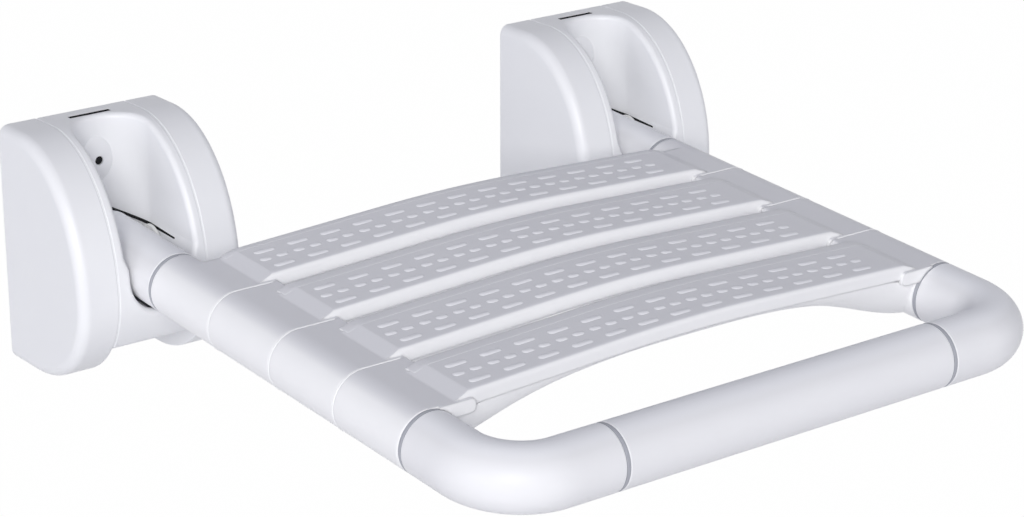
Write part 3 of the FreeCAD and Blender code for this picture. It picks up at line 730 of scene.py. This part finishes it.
# Each level is how far the ring lies inside the pad's outline, and its height.
PAD_LEVELS = [
    (0.0, -PAD_SINK),
    (0.02 * PAD_WIDTH, 0.0),
    (0.15 * PAD_WIDTH, 0.55 * PAD_RISE),
    (0.3 * PAD_WIDTH, PAD_RISE),
]


def pad_outline(length, width):
    """Points round a bar with half round ends, in its own plane."""
    radius = width / 2
    points = []
    for end in (1, -1):
        for i in range(PAD_CORNERS + 1):
            turn = -math.pi / 2 + math.pi * i / PAD_CORNERS
            along = length / 2 - radius + radius * math.cos(turn)
            points.append((end * along, end * radius * math.sin(turn)))
    return points


def add_pad(mesh, x, forward, length):
    """One low pad with a rounded top edge, following the crown."""
    rings = []
    for inset, height in PAD_LEVELS:
        ring = []
        for dx, dy in pad_outline(length - 2 * inset, PAD_WIDTH - 2 * inset):
            corner = seat_point(x + dx, forward - dy, crown_height(x + dx) + height)
            ring.append(mesh.verts.new(corner))
        rings.append(ring)
    join_rings(mesh, rings)
    mesh.faces.new(rings[-1])


print("pad's rise mm", PAD_RISE / MM)

# %% [markdown]
# The rows of pads
#
# On the real seat the pads come out of the mould with their slat. They repeat at an
# even step across it. An Array modifier could repeat them, but its copies would
# not follow the crown, so a loop lays them out, and all pads of a slat are kept as
# one piece.

# %% Build the pads
FIRST_SEAM = 58.6 * MM
SLAT_PITCH = 57.3 * MM
PAD_STEP = 21.1 * MM
PAD_STEPS = 13
PAD_MIDDLE = -6.0 * MM
LONG_PAD = 13.0 * MM
SHORT_PAD = 7.2 * MM
SHORT_APART = 10.3 * MM
# Each row is how far it lies behind the slat's front seam, the length of its pads,
# and where in the step they stand.
PAD_ROWS = [
    (30.3 * MM, LONG_PAD, (0.0,)),
    (20.7 * MM, SHORT_PAD, (-SHORT_APART / 2, SHORT_APART / 2)),
    (10.6 * MM, LONG_PAD, (0.0,)),
]


def front_seam(number):
    """How far in front of the hinge the slat's front seam lies."""
    return FIRST_SEAM + number * SLAT_PITCH


def grip_pads(number):
    """All pads of one slat as one piece."""
    mesh = bmesh.new()
    for step in range(PAD_STEPS):
        x = PAD_MIDDLE + (step - (PAD_STEPS - 1) / 2) * PAD_STEP
        for back, length, places in PAD_ROWS:
            for place in places:
                add_pad(mesh, x + place, front_seam(number) - back, length)
    keep_piece(mesh, "grip_pads_%d" % number, pad_white, "seat")


for number in SLAT_NUMBERS:
    grip_pads(number)

# %% [markdown]
# Feel for the skin
#
# The trims lie on the moulded skin. Its height could be worked out for each of
# them, but the surest way to know where the skin is, is to feel for it: a ray is
# cast at the piece, and the trim goes where it hits. A search tree over the faces
# makes that quick.

# %% Skins of the slats and the housings
def skin_of(name):
    """A search tree over the piece's faces, in world places."""
    piece = nodes[name]
    corners = [piece.matrix_world @ v.co for v in piece.data.vertices]
    return BVHTree.FromPolygons(corners, [tuple(p.vertices) for p in piece.data.polygons])


bpy.context.view_layer.update()
skins = {name: skin_of(name) for name in nodes if name.startswith("slat_") or name.endswith("_housing")}
print("skins:", sorted(skins))

# %% [markdown]
# Draw a bead
#
# A bead is a thin round bar along a line. A curve with a round bevel would make one
# too, but it would have to be turned into a mesh before it could be kept. Here a
# ring of eight corners stands across the line at each of its points.

# %% Draw a bead along a path
BEAD_SIDES = 8


def ring_round(centre, first, second, radius, sides):
    """Points of a circle about the centre, from first towards second."""
    turns = [2 * math.pi * k / sides for k in range(sides)]
    return [centre + radius * (math.cos(turn) * first + math.sin(turn) * second) for turn in turns]


def bead(mesh, path, across, radius):
    """A round bar along the path, which runs square to across or nearly so."""
    rings = []
    for i, point in enumerate(path):
        before = path[max(i - 1, 0)]
        after = path[min(i + 1, len(path) - 1)]
        outward = (after - before).normalized().cross(across).normalized()
        rings.append([mesh.verts.new(p) for p in ring_round(point, across, outward, radius, BEAD_SIDES)])
    join_rings(mesh, rings)
    close_ends(mesh, rings)


print("sides of a bead:", BEAD_SIDES)

# %% [markdown]
# The seam beads
#
# Where one slat's sleeve meets the next, the joint is closed with a fine white
# bead. It runs from under the arm over its top and along the shoulder to the
# slot's end. A straight bar would leave the skin at the shoulder's bend, so the
# bead goes through points that were felt for: first round the arm, then from above
# along the shoulder.

# %% Feel along a seam
ARM_X = 169.5 * MM
SLEEVE_RADIUS = 17.3 * MM
ARM_FEEL = 3 * SLEEVE_RADIUS
FEEL_HEIGHT = 60 * MM
BEHIND_SEAM = 0.6 * MM
BEAD_SINK = 0.3 * MM
ARC_LOW = -100
ARC_TOP = 90
ARC_STEP = 5
SHOULDER_STEP = 1.5 * MM
SHOULDER_STEPS = 15
seat_forward = seat_point(0, 1.0, 0) - seat_point(0, 0, 0)
seat_up = seat_point(0, 0, 1.0) - seat_point(0, 0, 0)


def round_the_arm(skin, seam, side):
    """Points on the sleeve beside the seam, from under the arm to its top."""
    axis = seat_point(side * ARM_X, seam - BEHIND_SEAM, 0)
    points = []
    for degrees in range(ARC_LOW, ARC_TOP + 1, ARC_STEP):
        turn = math.radians(degrees)
        out = Vector((side * math.cos(turn), 0, 0)) + math.sin(turn) * seat_up
        hit = skin.ray_cast(axis + ARM_FEEL * out, -out)[0]
        points.append(hit + BEHIND_SEAM * seat_forward - BEAD_SINK * out)
    return points


def along_the_shoulder(skin, seam, side):
    """Points from beside the arm's top inwards, to the slot's end."""
    points = []
    for step in range(1, SHOULDER_STEPS + 1):
        x = ARM_X - step * SHOULDER_STEP
        above = seat_point(side * x, seam - BEHIND_SEAM, FEEL_HEIGHT)
        hit = skin.ray_cast(above, -seat_up)[0]
        points.append(hit + BEHIND_SEAM * seat_forward - BEAD_SINK * seat_up)
    return points


print("seat's way forward:", [round(v, 4) for v in seat_forward])

# %% [markdown]
# Lay the seam beads
#
# Three seams on each side are closed this way. The fourth, in front of the last
# slat, gets a ring face instead. All six beads look alike and move together, so one
# piece holds them. Their extra white over the sleeves is painted highlight, for the
# light that the seam's rounded edges catch.

# %% Build the seam beads
SEAM_NUMBERS = (1, 2, 3)
BEAD_RADIUS = 0.75 * MM

mesh = bmesh.new()
for number in SEAM_NUMBERS:
    for side in (-1, 1):
        skin = skins["slat_%d" % number]
        seam = front_seam(number)
        path = round_the_arm(skin, seam, side) + along_the_shoulder(skin, seam, side)
        bead(mesh, path, seat_forward, BEAD_RADIUS)
        print("seam", number, side, "points", len(path), "last x mm", round(path[-1].x / MM, 1))
keep_piece(mesh, "seam_beads", bead_highlight_white, "seat")

# %% [markdown]
# The ring faces
#
# At the neck, at the last seam and at both ends of the front bar a grey ring fills
# the groove, a hair below the sleeves. A torus would be too round for it. Each one
# is a short band with rounded edges, made by turning its section about the tube's
# axis.

# %% Build the ring faces
RING_HALF = 1.05 * MM
RING_FLAT = 0.6 * RING_HALF
RING_FACE = 17.2 * MM
RING_EDGE = RING_FACE - 0.15 * MM
RING_INNER = 16.2 * MM
RING_SIDES = 64
# The section: how far along the axis each corner lies, and how far from it.
RING_LINE = [
    (-RING_HALF, RING_INNER),
    (-RING_HALF, RING_EDGE),
    (-RING_FLAT, RING_FACE),
    (RING_FLAT, RING_FACE),
    (RING_HALF, RING_EDGE),
    (RING_HALF, RING_INNER),
]
NECK_RING = 57.5 * MM
LAST_RING = 286.8 * MM
BAR_RING_X = 108.0 * MM
BAR_FORWARD = 345.8 * MM
ACROSS = Vector((1, 0, 0))


def ring_face(mesh, centre, axis, first, second):
    """Turn RING_LINE about the axis through the centre."""
    rings = []
    for i in range(RING_SIDES):
        turn = 2 * math.pi * i / RING_SIDES
        out = math.cos(turn) * first + math.sin(turn) * second
        rings.append([mesh.verts.new(centre + along * axis + away * out) for along, away in RING_LINE])
    join_rings(mesh, rings + rings[:1])


mesh = bmesh.new()
for side in (-1, 1):
    for forward in (NECK_RING, LAST_RING):
        ring_face(mesh, seat_point(side * ARM_X, forward, 0), seat_forward, ACROSS, seat_up)
    ring_face(mesh, seat_point(side * BAR_RING_X, BAR_FORWARD, 0), ACROSS, seat_forward, seat_up)
keep_piece(mesh, "ring_faces", ring_grey, "seat")

# %% [markdown]
# The parting beads
#
# The cheeks are pressed onto the housing's sides, and the fine joint line between
# them is filled flush, as on the real one, where it hardly shows. The rim is no
# circle, so the bead is laid through points that were felt for. The rays come from
# outside, towards a line through the housing's middle, from the top round the
# front to the foot.

# %% Build the parting beads
BODY_HALF = 27.5 * MM
INSIDE_RIM = 0.3 * MM
OUTSIDE_RIM = 0.15 * MM
PARTING_RADIUS = 0.7 * MM
PARTING_SINK = 0.65 * MM
PARTING_TOP = 104
PARTING_FOOT = -34
PARTING_STEP = 2
HOUSING_MIDDLE = Vector((0, -30, -11)) * MM
FAR_OUT = 200 * MM
HOUSINGS = {"left_housing": -ARM_X, "right_housing": ARM_X}


def parting_path(skin, centre_x, side):
    """Points on the housing's rim beside the cheek, from the top round to the foot."""
    middle = HOUSING_MIDDLE + Vector((centre_x + side * (BODY_HALF - INSIDE_RIM), 0, 0))
    points = []
    for degrees in range(PARTING_TOP, PARTING_FOOT - 1, -PARTING_STEP):
        turn = math.radians(degrees)
        out = Vector((0, -math.cos(turn), math.sin(turn)))
        hit = skin.ray_cast(middle + FAR_OUT * out, -out)[0]
        hit.x = centre_x + side * (BODY_HALF + OUTSIDE_RIM)
        points.append(hit - PARTING_SINK * out)
    return points


mesh = bmesh.new()
for name, centre_x in HOUSINGS.items():
    for side in (-1, 1):
        path = parting_path(skins[name], centre_x, side)
        bead(mesh, path, ACROSS, PARTING_RADIUS)
        print(name, side, "points", len(path), "z mm", round(path[0].z / MM, 1), round(path[-1].z / MM, 1))
keep_piece(mesh, "parting_beads", housing_white, "wall_brackets")

# %% [markdown]
# The notch's shade pan
#
# The notch in the housing's top is where the housing hooks onto its plate. Its
# inside shows nearly black, as shade, and a black pan a little below the top stands
# in for it: it is painted shade. The notch's own faces could be painted black, but
# their edge would be a hard line. The pan has a rounded rim, and five rings of four
# corners are enough for it.

# %% Build the notch shade pans
NOTCH_HALF = 12.95 * MM
NOTCH_BACK = -11.45 * MM
NOTCH_FRONT = -7.15 * MM
NOTCH_TOP = 71.0 * MM
# Each level is how far the ring lies inside the notch, and its height, both in mm.
SHADE_PAN_LEVELS = [(0.0, -3.3), (0.0, -0.5), (0.25, -0.35), (0.5, -0.5), (0.6, -2.8)]


def notch_shade_pan(mesh, centre_x):
    """A thin open black pan with a rounded rim, which paints the notch's shade."""
    rings = []
    for inset, depth in SHADE_PAN_LEVELS:
        half = NOTCH_HALF - inset * MM
        back = NOTCH_BACK + inset * MM
        front = NOTCH_FRONT - inset * MM
        z = NOTCH_TOP + depth * MM
        corners = [(-half, back), (half, back), (half, front), (-half, front)]
        rings.append([mesh.verts.new((centre_x + x, y, z)) for x, y in corners])
    join_rings(mesh, rings)
    close_ends(mesh, rings)


mesh = bmesh.new()
for centre_x in HOUSINGS.values():
    notch_shade_pan(mesh, centre_x)
keep_piece(mesh, "notch_shade_pans", shade_black, "wall_brackets")

# %% [markdown]
# The channel's shade strips
#
# A thin black strip lies in the gap beside the arm as painted shade: it stands in for
# the dark shadow line between the neck and the scoop's wall. It shows in the
# photograph as a small dark mark in the white scoop. It could be two straight bars,
# but the channel ends in a half circle, so the strip goes along one side, round the
# back and along the other side in one piece.

# %% Build the channel shade strips
CHANNEL_SIDE = 21.3 * MM
CHANNEL_CENTRE = -35.5 * MM
STRIP_RADIUS = 0.9 * MM
STRIP_Z = 9.3 * MM
STRIP_CLIMB = 0.5
STRIP_FRONT = -60.0 * MM
STRIP_FALL = 0.05
STRIP_STEP = 3 * MM
STRIP_STEPS = 8
STRIP_TURN = 6
UPWARD = Vector((0, 0, 1))


def channel_line():
    """The strip's line seen from above, about the middle of the housing."""
    side_ys = [STRIP_FRONT + k * STRIP_STEP for k in range(STRIP_STEPS)]
    line = [(-CHANNEL_SIDE, y) for y in side_ys]
    for degrees in range(180, -1, -STRIP_TURN):
        turn = math.radians(degrees)
        line.append((CHANNEL_SIDE * math.cos(turn), CHANNEL_CENTRE + CHANNEL_SIDE * math.sin(turn)))
    return line + [(CHANNEL_SIDE, y) for y in reversed(side_ys)]


def channel_shade_strip(mesh, centre_x):
    """The black shade strip, which climbs towards the middle and falls towards the front."""
    path = []
    for x, y in channel_line():
        climb = STRIP_CLIMB * (CHANNEL_SIDE - abs(x))
        fall = STRIP_FALL * min(0, y - CHANNEL_CENTRE)
        path.append(Vector((centre_x + x, y, STRIP_Z + climb + fall)))
    bead(mesh, path, UPWARD, STRIP_RADIUS)


mesh = bmesh.new()
for centre_x in HOUSINGS.values():
    channel_shade_strip(mesh, centre_x)
keep_piece(mesh, "channel_shade_strips", shade_black, "wall_brackets")

# %% [markdown]
# The screw holes' shade plugs
#
# A black plug sits in front of the housing's screw, as painted shade: it stands in
# for the shade down the screw's hole, which is seen from the front as a dark dot. A
# flat disc would look painted on. The plug has a low dome, made of rings that grow
# smaller towards the front, and its depth is felt for beside the screw's hole.

# %% Build the screw shade plugs
PLUG_Z = 46.0 * MM
PLUG_RADIUS = 2.4 * MM
PLUG_SUNK = 0.5 * MM
PLUG_SIDES = 24
BESIDE_PLUG = 0.8 * MM
# Each level is a share of the plug's radius, and its depth behind the face in mm.
PLUG_LINE = [(1.0, 2.0), (1.0, 0.35), (0.8, 0.1), (0.4, 0.0)]
TO_THE_WALL = Vector((0, 1, 0))


def screw_shade_plug(mesh, skin, centre_x):
    """A low domed black plug, as painted shade, whose face lies just behind the skin around the screw's
    hole.
    """
    beside = Vector((centre_x + PLUG_RADIUS + BESIDE_PLUG, -FAR_OUT, PLUG_Z))
    face_y = skin.ray_cast(beside, TO_THE_WALL)[0].y + PLUG_SUNK
    rings = []
    for share, depth in PLUG_LINE:
        centre = Vector((centre_x, face_y + depth * MM, PLUG_Z))
        circle = ring_round(centre, ACROSS, UPWARD, share * PLUG_RADIUS, PLUG_SIDES)
        rings.append([mesh.verts.new(point) for point in circle])
    join_rings(mesh, rings)
    close_ends(mesh, rings)
    print("plug face y mm", round(face_y / MM, 2))


mesh = bmesh.new()
for name, centre_x in HOUSINGS.items():
    screw_shade_plug(mesh, skins[name], centre_x)
keep_piece(mesh, "screw_shade_plugs", shade_black, "wall_brackets")

# %% [markdown]
# The slats' rear lips
#
# In the photograph the planks reach a little further back than their moulded
# bodies, as a thin rounded lip. A straight bar would not follow the plank's top.
# The lip's section is therefore set at many steps across the slat, and at each one
# the top is felt for, so it carries on the crown in the middle and the sloping
# flanks at the ends. The first slat's lip is shorter, because the folded seat lies
# close above the housings there.

# %% The lip's section
PLANK_REAR = 41.7 * MM
LIP_REACH = 4.4
FIRST_LIP_REACH = 1.9


def lip_line(reach):
    """The lip's section in mm: back from the plank's rear edge, and up from its top."""
    return [
        (-4.5, -0.6),
        (-4.0, 0.04),
        (reach - 2.0, 0.04),
        (reach - 0.9, -0.25),
        (reach - 0.2, -0.95),
        (reach, -2.0),
        (reach - 0.2, -3.2),
        (reach - 1.0, -4.3),
        (reach - 2.2, -4.8),
        (-4.5, -4.8),
    ]


print("corners of the lip's section:", len(lip_line(LIP_REACH)))

# %% [markdown]
# Lay the lips
#
# The top is felt for a few millimetres in front of the plank's rear edge, where the
# plank is whole. Its own rear edge is rounded, and a ray there would tell too low a
# height.

# %% Build the rear lips
LIP_END = 152.0 * MM
LIP_STEPS = 76
LIP_FEEL = 7 * MM


def rear_lip(mesh, number):
    """The lip of one slat, from its left end to its right end."""
    rear = front_seam(number) - PLANK_REAR
    section = lip_line(FIRST_LIP_REACH if number == 1 else LIP_REACH)
    rings = []
    for step in range(LIP_STEPS + 1):
        x = LIP_END * (2 * step / LIP_STEPS - 1)
        above = seat_point(x, rear + LIP_FEEL, FEEL_HEIGHT)
        hit = skins["slat_%d" % number].ray_cast(above, -seat_up)[0]
        top = FEEL_HEIGHT - (above - hit).length
        corners = [seat_point(x, rear - back * MM, top + up * MM) for back, up in section]
        rings.append([mesh.verts.new(corner) for corner in corners])
    join_rings(mesh, rings)
    close_ends(mesh, rings)


mesh = bmesh.new()
for number in SLAT_NUMBERS:
    rear_lip(mesh, number)
keep_piece(mesh, "rear_lips", slat_white, "seat")
